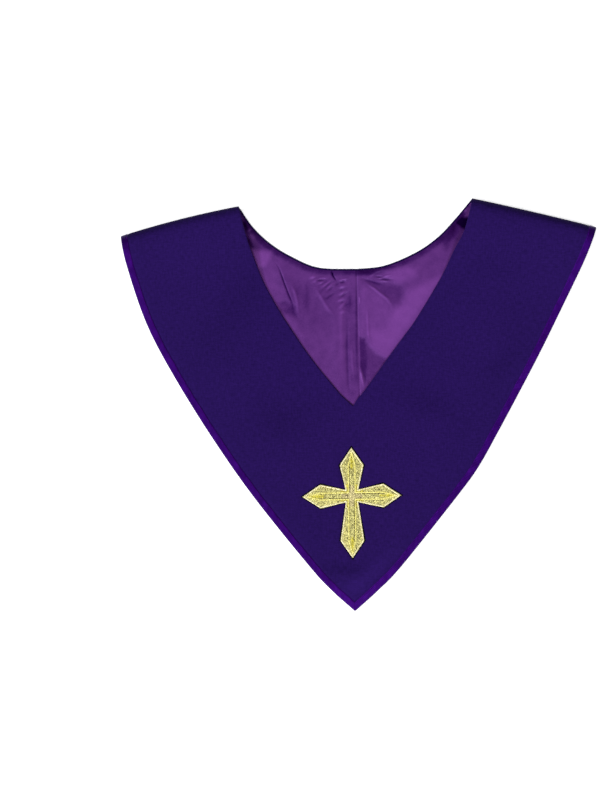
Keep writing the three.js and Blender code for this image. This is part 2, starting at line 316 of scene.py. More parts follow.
# A material with one shader, whose even values are set on its own sockets.
def newMaterial(name, values):
    material = bpy.data.materials.new(name)
    material.use_nodes = True
    tree = material.node_tree
    tree.nodes.clear()
    shader = addNode(tree, "ShaderNodeBsdfPrincipled", values=values)
    addNode(tree, "ShaderNodeOutputMaterial", links={"Surface": shader.outputs[0]})
    return material, tree, shader


# Wave texture scale for a period in mm, on coordinates in metres.
def waveScale(period):
    return 2 * math.pi / 20 / (period * mm)


# Links a ramp over hex colours, with the place of each, and a bump, of a depth in mm and a
# strength, into the shader.
def finishShader(tree, shader, colours, share, height, bump):
    ramp = addNode(tree, "ShaderNodeValToRGB", links={"Fac": share})
    stops = ramp.color_ramp.elements
    while len(stops) < len(colours):
        stops.new(0.5)
    for stop, (place, code) in zip(stops, colours):
        stop.position, stop.color = place, linear(code)
    values = {"Distance": bump[0] * mm, "Strength": bump[1]}
    relief = addNode(tree, "ShaderNodeBump", values=values, links={"Height": height})
    tree.links.new(ramp.outputs["Color"], shader.inputs["Base Color"])
    tree.links.new(relief.outputs[0], shader.inputs["Normal"])


# A cloth's material with what its mesh tells it: the place of each point on the flat cloth, and how much
# lighter or darker the cloth is there, which is painted shade and light.
def newCloth(name, cloth):
    values = {"Roughness": cloth["roughness"], "Specular IOR Level": cloth["gloss"]}
    material, tree, shader = newMaterial(name, {**values, "Specular Tint": linear(cloth["glint"])})
    grain = addNode(tree, "ShaderNodeAttribute", {"attribute_name": "grain"}).outputs["Vector"]
    tone = addNode(tree, "ShaderNodeAttribute", {"attribute_name": "tone"}).outputs["Fac"]
    return material, tree, shader, grain, tone


# The tone with patterns added to it, each at its own weight.
def patternedTone(tree, tone, patterns):
    for pattern, weight in patterns:
        links = {0: pattern.outputs["Fac"], 2: tone}
        step = addNode(tree, "ShaderNodeMath", {"operation": "MULTIPLY_ADD"}, {1: weight}, links)
        tone = step.outputs[0]
    return tone


twill = {
    "colours": [(0, "#12062d"), (1, "#281355")],  # in shade and in light
    "glint": "#6f58ff",
    "roughness": 0.8,
    "gloss": 0.2,
    "wale": 1.7,  # mm: the real wale is 0.5, drawn coarser so that it shows
    "waleTurn": 57,
    "slub": 1.6,  # thick places in the yarns
    "mottle": 60,
    "weights": {"mottle": 0.12, "slub": 0.55, "wale": 0.08},
    "darker": 0.17,
    "bump": (0.08, 0.3),
}


# Polyester twill, woven and pressed: matt and deep, with a faint slanting wale and slubs along
# both yarns. The dyed yarn gives back its own colour even where it shines.
def twillMaterial():
    material, tree, shader, grain, tone = newCloth("polyesterTwill", twill)
    weights = twill["weights"]
    turn = (0, 0, math.radians(twill["waleTurn"]))
    turned = addNode(tree, "ShaderNodeMapping", values={"Rotation": turn}, links={"Vector": grain})
    values = {"Scale": waveScale(twill["wale"]), "Distortion": 0.8, "Detail": 1, "Detail Scale": 2}
    wale = addNode(tree, "ShaderNodeTexWave", values=values, links={"Vector": turned.outputs[0]})
    values = {"Scale": 1 / (twill["mottle"] * mm), "Detail": 2}
    mottle = addNode(tree, "ShaderNodeTexNoise", values=values, links={"Vector": grain})
    patterns = [(mottle, weights["mottle"])]
    for stretch in ((0.3, 1, 1), (1, 0.3, 1)):  # weft, then warp
        drawn = addNode(tree, "ShaderNodeMapping", values={"Scale": stretch}, links={"Vector": grain})
        values = {"Scale": 1 / (twill["slub"] * mm), "Detail": 1}
        slubs = addNode(tree, "ShaderNodeTexNoise", values=values, links={"Vector": drawn.outputs[0]})
        patterns.append((slubs, weights["slub"]))
    amount = patternedTone(tree, tone, patterns + [(wale, weights["wale"])])
    share = addNode(tree, "ShaderNodeMath", {"operation": "SUBTRACT"}, {1: twill["darker"]}, {0: amount})
    finishShader(tree, shader, twill["colours"], share.outputs[0], wale.outputs["Fac"], twill["bump"])
    return material


satin = {
    "colours": [(0, "#0c0022"), (0.3, "#2c0a47"), (1, "#6c3885")],  # painted shadow in a hollow, in shade, in light
    "glint": "#c48cf0",
    "roughness": 0.42,
    "gloss": 0.5,
    "glossReach": (0.1, 0.5),  # share of the colours over which the gloss comes in
    "floats": 0.8,  # mm: real floats are 0.15, drawn coarser so that they show
    "streak": 9,
    "weights": {"streak": 0.6, "floats": 0.54},
    "reach": (-0.78, 1.72),  # tones at the two ends of the colours
    "bump": (0.08, 0.2),
}


# Acetate satin: its long floats lie along the cloth, so it is smooth, with a soft broad gloss that fades
# out where shadow is painted in the hollows.
def satinMaterial():
    material, tree, shader, grain, tone = newCloth("acetateSatin", satin)
    weights = satin["weights"]
    drawn = addNode(tree, "ShaderNodeMapping", values={"Scale": (0.35, 1, 1)}, links={"Vector": grain})
    values = {"Scale": 1 / (satin["floats"] * mm), "Detail": 2}
    floats = addNode(tree, "ShaderNodeTexNoise", values=values, links={"Vector": drawn.outputs[0]})
    values = {"Scale": 1 / (satin["streak"] * mm), "Detail": 3}
    streak = addNode(tree, "ShaderNodeTexNoise", values=values, links={"Vector": grain})
    patterns = [(streak, weights["streak"]), (floats, weights["floats"])]
    amount = patternedTone(tree, tone, patterns)
    limits = {"From Min": satin["reach"][0], "From Max": satin["reach"][1]}
    share = addNode(tree, "ShaderNodeMapRange", values=limits, links={"Value": amount}).outputs[0]
    low, high = satin["glossReach"]
    limits = {"From Min": low, "From Max": high, "To Max": satin["gloss"]}
    gloss = addNode(tree, "ShaderNodeMapRange", values=limits, links={"Value": share}).outputs[0]
    tree.links.new(gloss, shader.inputs["Specular IOR Level"])
    finishShader(tree, shader, satin["colours"], share, floats.outputs["Fac"], satin["bump"])
    return material


ribbon = {
    "colours": [(0, "#190136"), (0.5, "#2d0459"), (1, "#4c0d84")],
    "glint": "#6a30d0",
    "roughness": 0.45,
    "gloss": 0.5,
    "rib": 1.3,  # mm: the real rib is 0.4, drawn coarser so that it shows
    "ribTurn": 40,
    "patch": 8,
    "weights": {"patch": 0.9, "rib": 0.3},
    "darker": 0.25,
    "bump": (0.12, 0.4),
}


# Satin bias ribbon, folded and pressed: brighter than the twill, with fine slanting ribs.
def ribbonMaterial():
    material, tree, shader, grain, tone = newCloth("satinBiasRibbon", ribbon)
    weights = ribbon["weights"]
    turn = (0, 0, math.radians(ribbon["ribTurn"]))
    turned = addNode(tree, "ShaderNodeMapping", values={"Rotation": turn}, links={"Vector": grain})
    values = {"Scale": waveScale(ribbon["rib"]), "Distortion": 1.2, "Detail": 2, "Detail Scale": 2}
    rib = addNode(tree, "ShaderNodeTexWave", values=values, links={"Vector": turned.outputs[0]})
    values = {"Scale": 1 / (ribbon["patch"] * mm), "Detail": 3}
    patch = addNode(tree, "ShaderNodeTexNoise", values=values, links={"Vector": grain})
    amount = patternedTone(tree, tone, [(patch, weights["patch"]), (rib, weights["rib"])])
    share = addNode(tree, "ShaderNodeMath", {"operation": "SUBTRACT"}, {1: ribbon["darker"]}, {0: amount})
    finishShader(tree, shader, ribbon["colours"], share.outputs[0], rib.outputs["Fac"], ribbon["bump"])
    return material


threads = {
    "twist": 0.35,  # mm
    "bump": (0.1, 0.5),
    "metallised": {"Metallic": 0.5, "Roughness": 0.45},
    "polyester": {"Roughness": 0.7, "Specular IOR Level": 0.15, "Specular Tint": linear(ribbon["glint"])},
    "cotton": {"Roughness": 0.9, "Specular IOR Level": 0.1},
}


# Thread, from its colours in shade and in light. Each stitch has its own shade, drawn by lot, which stands
# partly for painted glints, and the twist is a fine bump, so metallised thread, which is foil round a core,
# glints stitch by stitch.
def threadMaterial(name, colours, fibre):
    material, tree, shader = newMaterial(name, threads[fibre])
    shade = addNode(tree, "ShaderNodeAttribute", {"attribute_name": "shade"}).outputs["Fac"]
    place = addNode(tree, "ShaderNodeTexCoord").outputs["Object"]
    values = {"Scale": 1 / (threads["twist"] * mm)}
    twist = addNode(tree, "ShaderNodeTexNoise", values=values, links={"Vector": place})
    finishShader(tree, shader, list(enumerate(colours)), shade, twist.outputs["Fac"], threads["bump"])
    return material


crossForm = {
    "centre": (-6.8, -95.5),
    "turn": 0.7,
    "halfWidth": 12.2,
    "waist": 6,
    # angle of the arm, distance to its tip and to its widest place
    "arms": [(0.2, 51.2, 33), (90, 50.3, 32.5), (180.4, 51.5, 33), (270, 64.8, 46.8)],
    # how far a corner moves for each mm that the outline is pulled in
    "waistPull": 0.8,
    "widePull": 1.15,
    "tipPull": 1.8,
}


# Places in plan from distances along an arm and across it.
def armPlace(angle, along, across):
    turn = math.radians(angle + crossForm["turn"])
    x = crossForm["centre"][0] + along * math.cos(turn) - across * math.sin(turn)
    y = crossForm["centre"][1] + along * math.sin(turn) + across * math.cos(turn)
    return np.stack([x + 0 * y, y + 0 * x], axis=-1)


# Corners of the cross, pulled in by a distance from its outline.
def crossOutline(inset):
    waist = crossForm["waist"] - inset * crossForm["waistPull"]
    half = crossForm["halfWidth"] - inset * crossForm["widePull"]
    corners = []
    for angle, tip, wide in crossForm["arms"]:
        along = np.array([waist, wide, tip - inset * crossForm["tipPull"], wide])
        corners.append(armPlace(angle, along, np.array([-waist, -half, 0, half])))
    return np.concatenate(corners)


def sides(outline):
    return list(zip(outline, np.roll(outline, -1, 0)))


# Distance from a closed outline, less than 0 inside it.
def outlineDistance(outline, x, y):
    nearest, inside = np.full_like(x, 1e9), np.zeros_like(x, bool)
    for a, b in sides(outline):
        edge = b - a
        share = np.clip(((x - a[0]) * edge[0] + (y - a[1]) * edge[1]) / max(edge @ edge, 1e-9), 0, 1)
        nearest = np.minimum(nearest, np.hypot(x - a[0] - share * edge[0], y - a[1] - share * edge[1]))
        level = edge[1] if edge[1] else 1e-9
        inside ^= ((a[1] > y) != (b[1] > y)) & (x < edge[0] * (y - a[1]) / level + a[0])
    return np.where(inside, -nearest, nearest)


shellFinish = {
    "columns": 52,
    "neckColumns": [0, 0.25, 0.6, 1.1, 1.8, 2.6, 3.6],  # mm from the neck edge
    "endColumns": [5, 4, 3.2, 2.5, 1.8, 1, 0],  # mm from the cloth's end
    "frontRows": 110,
    "backRows": 60,
    "rimWidth": 2.2,  # turned neck edge, where the seam allowance makes it thicker
    "rimRise": 0.6,
    "rimRound": 0.9,
    "rimThin": 0.2,  # share of the thickness at the very edge
    "ditchWidth": 2.4,  # where the binding's seam pulls the cloth down
    "ditchDepth": 0.3,
    "bandWidth": 5,  # the cloth runs this far short of the edge, inside the binding
    "pinch": 0.45,
    "seamTurn": 0.35,  # the centre back's edges turn in by this much
    # long shallow waves: turns per metre in x and y, phase, and height in mm
    "waves": [(5, 3, 0.4, 0.14), (-4, 7, 2.1, 0.12), (11, -7, 4.4, 0.07), (3, 14, 1.3, 0.06)],
    "wavesFrom": 40,  # they come in over this distance from a shoulder fold
    # the pull of the stitches round the cross: distance, width and height
    "pull": [(0.4, 2, -0.35), (6, 4, 0.28)],
    "puckers": (23, 4, 3, 0.1),  # small ones in it: how many, distance, width and height
    # painted shade and light on the front: x, y, turn, half length, half width, amount
    "tones": [
        (-123, 110, 53, 52, 20, -0.1),
        (-184, 160, 20, 50, 30, 0.07),
        (-78, -15, 20, 40, 20, -0.1),
        (76, 0, -20, 34, 14, -0.13),
        (153, 44, 45, 26, 12, -0.12),
        (142, 143, 0, 30, 12, -0.06),
        (-13, -172, 0, 24, 5.5, -0.2),
        (14, -177, 43, 34, 8, 0.24),
        (-7, -189, 0, 14, 7, 0.2),
        (-60, -110, -50, 30, 16, -0.04),
    ],
    # shade beside the shoulder folds: side, how wide and how deep
    "foldTones": [("Left", 5, -0.55), ("Left", 10, -0.12), ("Right", 4.5, -0.55), ("Right", 10, -0.22)],
    "neckTone": (2.4, -0.1),  # the same beside the neck edge
    # painted shade along the back's neck edge
    "backRimTone": -0.6,
}


# What the finish adds to the front's height: shallow waves, and puckers round the cross.
def frontFinish(x, y, distance):
    total = np.zeros_like(x)
    for turnsX, turnsY, phase, height in shellFinish["waves"]:
        total += height * np.sin((x * turnsX + y * turnsY) * mm * 2 * math.pi + phase)
    total *= smooth(distance / shellFinish["wavesFrom"])
    far = outlineDistance(crossOutline(0), x, y)
    for place, width, height in shellFinish["pull"]:
        total += height * bell((far - place) / width)
    angle = np.arctan2(y - crossForm["centre"][1], x - crossForm["centre"][0])
    count, place, width, height = shellFinish["puckers"]
    return total + height * np.sin(angle * count) * bell((far - place) / width)


# Top of the front at places in plan, away from the shoulders.
def frontTop(x, y):
    far = np.full_like(x, 1e4)
    return frontMiddle(far, x, y) + collar["wall"] / 2 + frontFinish(x, y, far)


def makeShell(material):

    # Close columns by the neck edge, then even ones, then close ones by the cloth's end.
    def acrossAt(quarter, t):
        width = sectionWidth(quarter, t)[:, None]
        end = 1 - bandShare(quarter, t, shellFinish["bandWidth"])[:, None]
        near = np.array(shellFinish["neckColumns"]) / width
        last = end - np.array(shellFinish["endColumns"]) / width
        start, stop = near[:, -1:], last[:, :1]
        middle = start + (stop - start) * np.linspace(0, 1, shellFinish["columns"])[None, 1:-1]
        return np.hstack([near, middle, last])

    place, grain, distance, front = ringGrid(acrossAt, shellFinish["frontRows"], shellFinish["backRows"])
    normals = normalsOf(place)
    fromNeck = alongRows(place)
    fromEnd = fromNeck[:, -1:] - fromNeck
    seamLine = collar["bindingWidth"] - shellFinish["bandWidth"]  # inner edge of the binding, from the end
    ditch = shellFinish["ditchDepth"] * bell((fromEnd - seamLine) / shellFinish["ditchWidth"])
    pinch = shellFinish["pinch"] * smooth((seamLine - fromEnd) / seamLine)
    rim = shellFinish["rimRise"] * (1 - front) * bell((fromNeck / shellFinish["rimWidth"]) ** 2)
    turn = np.sqrt(1 - (1 - np.minimum(fromNeck / shellFinish["rimRound"], 1)) ** 2)
    outerAt = collar["wall"] / 2 - ditch - pinch * front
    innerAt = -collar["wall"] / 2 - rim + pinch
    outerAt[[0, -1]] -= shellFinish["seamTurn"]
    middle = (outerAt + innerAt) / 2
    half = (outerAt - innerAt) / 2 * (shellFinish["rimThin"] + (1 - shellFinish["rimThin"]) * turn)
    lift = front * frontFinish(place[..., 0], place[..., 1], distance)
    outer, inner = (place + normals * (middle + k * half)[..., None] for k in (1, -1))
    for side in (outer, inner):
        side[..., 2] += lift
    outer[..., 2] = np.maximum(outer[..., 2], 0)
    # painted shade and light: the patches and the shade by the shoulder folds on the front, and shade along
    # the neck edge of front and back
    tone = ridges(shellFinish["tones"], place[..., 0], place[..., 1])
    for side, width, amount in shellFinish["foldTones"]:
        onSide = place[..., 0] > 0 if side == "Right" else place[..., 0] < 0
        tone += amount * bell(distance / width) * onSide
    width, amount = shellFinish["neckTone"]
    rimTone = np.where(front, amount, shellFinish["backRimTone"])
    tone = front * tone + rimTone * bell(fromNeck / width)
    return newWall("shellCloth", outer, inner, material, grain=grain * mm, tone=tone)


lining = {
    "thickness": 0.5,
    "top": 1.95,  # its visible face, from the middle of the shell
    "inset": 1.8,  # rim of shell left bare along the neck
    "margin": 1.3,  # between the lining and the binding
    "returned": 38,  # length past the fold, under the front
    # columns up to each share of the width: close together where the neck shows the cloth
    "columns": [(0.17, 84), (0.45, 60), (1, 12)],
    "backRows": 150,
    "rowCrowding": 1.35,  # over 1 puts more of the rows near the seam
    "overRows": 10,
    "seamWidth": 1.0,
    "seamDepth": 0.3,
    "coveredHeight": 0.45,  # most that a crease may rise under the front
    "deepest": -0.75,  # most that it may sink, which is still clear of the shell
    "rimFlat": 2.5,  # it lies flatter and lower this close to its neck edge
    "rimRelief": 0.25,
    "rimDrop": 0.35,
    "creaseEnds": (3.5, 2.5, 0.15),  # how fast a crease comes in and fades, and what its ends keep
    # broad swells: x, y, turn, half length, half width, height
    "swells": [
        (-36, 112, -58, 26, 8, 0.5),
        (-76, 128, -64, 24, 8, 0.6),
        (6, 78, 88, 42, 6, 0.4),
        (62, 112, 62, 34, 20, 0.9),
        (-22, 55, 91, 40, 5, 0.5),
    ],
    # long creases: half width, height and tone, which is painted shade and light, and points along each
    "creases": [
        (0.8, -0.75, -0.9, [
            (-86.5, 148.5), (-83.5, 144), (-78.5, 130), (-73.5, 116.5), (-69.5, 107), (-68.5, 97.5),
        ]),
        (1.7, 0.6, 0.25, [(-70, 127), (-66.5, 118.5), (-64, 108), (-63.5, 93.5)]),
        (0.8, -0.75, -1.3, [(-28.5, 141.5), (-26.5, 135.5), (-23, 130)]),
        (1.8, 0.5, 0.2, [(-44.5, 123), (-38.5, 112.5), (-32, 102), (-25.5, 93.5)]),
        (1.3, 0.8, 0.35, [(7, 129), (16.5, 123), (24.5, 116.5), (31, 111.5), (34.5, 106), (36, 100)]),
        (1.2, 0.6, 0.3, [(11, 134.5), (18.5, 140), (28, 143.5)]),
        (1.5, -0.3, -0.4, [(4.5, 132.5), (12, 130.5), (27, 126)]),
        (1.4, -0.5, -0.4, [(-11.5, 91.5), (-12, 58), (-11, 26.5), (-9, 3)]),
        (2.4, 0.4, 0.25, [(-18, 110.5), (-17.5, 63), (-17, 31.5)]),
        (1.5, 0.3, 0.2, [(-7, 63), (-6, 42), (-4, 26.5)]),
        (1.1, 0.4, 0.25, [(9.5, 102), (10, 84), (11, 70.5), (14, 62.5)]),
        (1.3, 0.6, 0.5, [(3, 37), (4, 28.5), (6, 18)]),
        (0.9, 0.3, 0.5, [(1.5, 114.5), (1.5, 106)]),
        (1.3, 0, -0.4, [(-2.2, 130), (-2, 63), (-0.8, 14)]),
        (3, 0, -0.2, [(-54, 131.5), (-54, 97.5)]),
        (1.8, 0.2, 0.3, [(-124, 200), (-119.5, 190)]),
        (1.4, 0.2, 0.6, [(-117.5, 182), (-111.5, 186)]),
        (2.6, 0, 0.3, [(-113, 181), (-108.5, 173)]),
        (2.4, -0.3, -0.65, [(-122, 194), (-115, 178)]),
        (2.6, -0.3, -0.7, [(-117.5, 178), (-110.5, 163)]),
        (1, 0.2, 0.4, [(107, 207), (116, 203)]),
        (1, -0.2, -0.5, [(110, 211), (118, 208)]),
        (3, 0, -0.3, [(104, 188), (92, 168)]),
        (2.2, 0, -0.3, [(-9, 121), (-9, 97.5)]),
    ],
    # small ripples beside the seam, where the neck edge pulls: as the swells
    "ripples": [
        (-47.5, 135, 27, 3.5, 1.3, 0.9),
        (-44.5, 131, 27, 3.5, 1.2, 0.9),
        (-38.5, 133.5, 12, 3, 0.9, 0.6),
        (-39.5, 131.5, 11, 4.5, 0.9, -1),
        (-38.5, 129, 20, 3.5, 0.9, 0.8),
        (-35.5, 129, 31, 4.5, 0.9, -0.8),
        (-32, 128.5, 35, 7, 1.1, 1.1),
        (-31, 127, 42, 6.5, 0.9, -1.1),
        (-29, 125.5, 43, 5, 1, 0.9),
        (-29, 122.5, 47, 4.5, 1, -0.9),
        (-29, 115, 37, 6.5, 1.1, -0.9),
        (-37.5, 116.5, 56, 3.5, 1.2, 0.3),
        (-22, 127.5, 42, 2.5, 1.2, -0.7),
        (-16.5, 129.5, 11, 2.5, 1.1, -1.3),
        (-15, 132.5, 15, 3.5, 0.8, 0.7),
        (-16.5, 125, 27, 3, 1, 0.9),
        (-17.5, 121.5, 35, 2.5, 1, -0.5),
        (-16, 118.5, 29, 4.5, 1.1, 0.9),
        (-15, 116, 36, 4.5, 1, -0.9),
        (-17.5, 111.5, 32, 4, 1.1, 0.8),
        (-16.5, 108.5, 33, 2.5, 1, -0.6),
        (-16.5, 105.5, 45, 4.5, 1.3, 0.9),
        (-12.5, 105.5, 53, 3, 1, -0.6),
        (-16, 98.5, 40, 2.5, 1.2, 0.8),
        (22, 135, -3, 3, 0.7, -0.8),
        (23.5, 133.5, 8, 3, 0.7, 0.6),
        (29.5, 132.5, -4, 5, 0.9, -1),
        (30, 136, 15, 3.5, 0.8, 0.7),
        (26.5, 130.5, -4, 4, 0.9, 0.6),
    ],
    "rippleTone": 0.55,  # a trough holds shade and a ridge catches light
    # areas with a height of their own and painted shade and light, some of it near black: softness of the
    # edge, height and tone, and corners
    "facets": [
        (3.5, 0.4, 0.6, [(-112, 163), (-92, 161), (-92, 154), (-97, 147), (-105, 145)]),
        (2.5, 0, -0.3, [(-124.5, 209), (-101.5, 177.5), (-91, 163.5), (-111, 163.5), (-119, 177.5)]),
        (3, -0.5, -1.4, [(104.5, 192), (109, 196), (118, 197), (117, 191), (114, 185), (108.5, 187)]),
        (2.5, 0, 0.75, [(109, 211), (120, 215), (120, 200), (112, 198)]),
        (11, 0, -0.55, [(117, 216.5), (85.5, 175.5), (92, 165), (108.5, 176.5), (119, 200.5)]),
        (4.5, -0.5, -0.28, [
            (4.5, 132.5), (22.5, 130), (35, 127.5), (45.5, 125), (49, 119.5), (44.5, 107),
            (35, 111.5), (27, 116.5), (16.5, 124.5),
        ]),
        (5, 0.4, 0.5, [
            (27, 142), (38.5, 144.5), (52, 146.5), (62.5, 144), (62.5, 136.5), (52, 131.5),
            (41.5, 129), (31, 134.5),
        ]),
        (6, 0.4, 0.62, [
            (37.5, 102), (46.5, 107), (54, 121), (75, 131.5), (90, 136.5), (39.5, 63), (31, 50.5),
            (20.5, 55.5), (13, 63), (11, 75.5), (31, 81),
        ]),
        (4, 0.2, 0.3, [
            (2.5, 127), (16.5, 121), (31, 108), (35, 94.5), (31, 81), (10, 74.5), (2.5, 76.5),
        ]),
        (1.8, -0.5, -0.55, [(1.5, 71.5), (7.5, 70.5), (9, 58), (9, 31.5), (8, 25), (4, 34.5), (2, 41)]),
        (1.5, -0.3, -0.25, [(9, 66), (13, 61), (18.5, 55), (25.5, 51), (33, 49.5), (10, 20), (9, 37)]),
        (3, -0.4, -0.35, [
            (-84.5, 108), (-77, 110.5), (-71, 107), (-65.5, 104), (-64.5, 92.5), (-74, 95.5),
            (-81.5, 98.5),
        ]),
        (3, 0.2, 0.15, [(-79.5, 94.5), (-64.5, 90.5), (-58.5, 73.5), (-65.5, 74.5)]),
        (2, 0, -0.35, [(-2.5, 144), (-2.5, 136), (14, 136.5), (23.5, 142), (39.5, 145.5), (22.5, 148)]),
        (2, 0, -0.14, [(-13, 115), (-1.5, 115), (-0.5, 14), (-9, 3), (-12, 50)]),
        (6, 0, 0.14, [(-118, 160), (-86, 96), (-76, 100), (-84, 128), (-96, 152)]),
        (9, 0, -0.16, [(-84, 130), (-52, 130), (-28, 112), (-28, 80), (-60, 80), (-76, 104)]),
    ],
    "rimTone": (5.5, -0.55),  # shade beside the neck edge: how wide and how deep
}


# Height and tone of the creases at places in plan, where the tone is painted shade and light. Each fades
# towards its ends.
def creasesAt(x, y):
    total, tone = np.zeros_like(x), np.zeros_like(x)
    fadeIn, fadeOut, kept = lining["creaseEnds"]
    for width, height, shade, points in lining["creases"]:
        points = np.array(points, float)
        lengths = np.linalg.norm(np.diff(points, axis=0), axis=1)
        starts = np.concatenate([[0], np.cumsum(lengths)[:-1]])
        nearest, along = np.full_like(x, 1e9), np.zeros_like(x)
        for a, b, length, start in zip(points, points[1:], lengths, starts):
            ahead = (b - a) / length
            run = np.clip((x - a[0]) * ahead[0] + (y - a[1]) * ahead[1], 0, length)
            gap = np.hypot(x - a[0] - run * ahead[0], y - a[1] - run * ahead[1])
            closer = gap < nearest
            nearest, along = np.where(closer, gap, nearest), np.where(closer, start + run, along)
        share = along / lengths.sum()
        fade = smooth(share * fadeIn) * smooth((1 - share) * fadeOut)
        profile = bell(nearest / width) * bell(nearest / width / 2) * (kept + (1 - kept) * fade)
        total += height * profile
        tone += shade * profile
    ripple = ridges(lining["ripples"], x, y)
    total, tone = total + ripple, tone + lining["rippleTone"] * ripple
    for softness, height, shade, corners in lining["facets"]:
        share = smooth(0.5 - outlineDistance(np.array(corners, float), x, y) / softness / 2)
        total, tone = total + height * share, tone + shade * share
    return total, tone


# How far places lie inside the neck opening that the front leaves, in mm.
def insideOpening(x, y):
    t = np.linspace(0, 1, 60)
    left, right = splineAt(quarters["frontLeft"]["neck"], t), splineAt(quarters["frontRight"]["neck"], t)
    return -outlineDistance(np.concatenate([left, right[::-1]]), x, y)


def makeLining(side, material):
    back, front = quarters["back" + side], quarters["front" + side]

    def acrossAt(quarter, t):
        start = lining["inset"] / sectionWidth(quarter, t)[:, None]
        end = 1 - bandShare(quarter, t, collar["bindingWidth"] + lining["margin"])[:, None]
        shares = [0.0]
        for share, count in lining["columns"]:
            shares += list(np.linspace(shares[-1], share, count + 1)[1:])
        return start + (end - start) * np.array(shares)[None, :]

    returnEnd = sectionAt(front, lining["returned"])
    backRows = stations(back, lining["backRows"])
    level = backRows[collar["rollRows"]]
    crowded = 1 - (1 - (backRows - level) / (1 - level)) ** lining["rowCrowding"]
    backRows = np.where(backRows > level, level + (1 - level) * crowded, backRows)
    grids = []
    for quarter, t in ((back, backRows[::-1]), (front, stations(front, lining["overRows"], returnEnd)[1:])):
        across = acrossAt(quarter, t)
        place, grain, distance = surfaceAt(quarter, t[:, None] + 0 * across, across)
        grids.append((place, grain, 0 * distance + quarter["front"]))
    place, grain, isFront = (np.concatenate([g[k] for g in grids]) for k in range(3))
    if side == "Right":
        place, grain, isFront = place[::-1], grain[::-1], isFront[::-1]
    normals = normalsOf(place)
    seamRow = place[0 if side == "Left" else -1]
    x, y = place[..., 0], place[..., 1]
    fromSeam = np.abs(x - np.interp(y, seamRow[::-1, 1], seamRow[::-1, 0]))
    opened = insideOpening(x, y)
    # painted shade and light from the creases, ripples and facets, and painted shade along the neck edge;
    # none where the lining lies under the front
    creased, tone = creasesAt(x, y)
    relief = np.maximum(creased + ridges(lining["swells"], x, y), lining["deepest"]) * (1 - isFront)
    relief = np.where(opened > 0, relief, np.minimum(relief, lining["coveredHeight"]))
    fromRim = alongRows(place)
    edge = np.minimum(fromRim / lining["rimFlat"], 1)
    relief *= lining["rimRelief"] + (1 - lining["rimRelief"]) * edge
    relief -= lining["seamDepth"] * bell(fromSeam / lining["seamWidth"]) * (1 - isFront)
    rimWide, rimDeep = lining["rimTone"]
    tone = (tone + rimDeep * bell((fromRim / rimWide) ** 2)) * (1 - isFront)
    height = lining["top"] + relief - (1 - edge) * lining["rimDrop"]
    inner = place - normals * height[..., None]
    outer = place - normals * (height - lining["thickness"])[..., None]
    return newWall("lining" + side, outer, inner, material, grain=grain * mm, tone=tone)


binding = {
    "frontRows": 250,
    "backRows": 120,
    "thickness": 1.9,
    "proud": 0.3,
    "skin": 0.4,
    # section of the folded strip: share of the width from the edge, share of the thickness
    "section": [
        *[(1.0, 0.72), (0.985, 0.86), (0.94, 0.97), (0.84, 1.03), (0.66, 1.03), (0.45, 1.0)],
        *[(0.25, 1.02), (0.11, 1.0), (0.035, 0.9), (0.0, 0.66), (0.0, 0.36), (0.035, 0.1)],
        *[(0.11, 0.0), (0.3, 0.0), (0.6, 0.0), (0.9, 0.0), (0.985, 0.08), (1.0, 0.26)],
    ],
    "pucker": 0.09,
    "puckerLength": 7,
    "waver": 0.22,  # how far the inner edge strays
    "waverLength": 31,
    "waverFrom": 0.8,
    "mitreDent": 0.4,
    "tipPaintedLight": (45, 0.15),  # painted light towards the front's point, and painted shade at the shoulder folds
    "foldPaintedShade": (11, -0.75),
    "seamColumn": 3,  # place in the section where the stitches run
    # its stitches in mm: spacing, length and thickness, then turn, spread of the turns and bow
    "seam": (3.2, 2.3, 0.35, 0.0, 0.04, 0.25),
    "seamColours": ("#1f0346", "#470c7c"),
}


# Uneven waves along a length in mm, the same each time, from about -1 to 1.
def unevenWave(length, wave, seed):
    total = np.zeros_like(length)
    for k, share in enumerate((1, 0.62, 1.71, 0.37, 2.6)):
        total += np.sin(length * share * 2 * math.pi / wave + seed * 1.7 + k * 2.3) / (1 + 0.5 * k)
    return total / 2.2


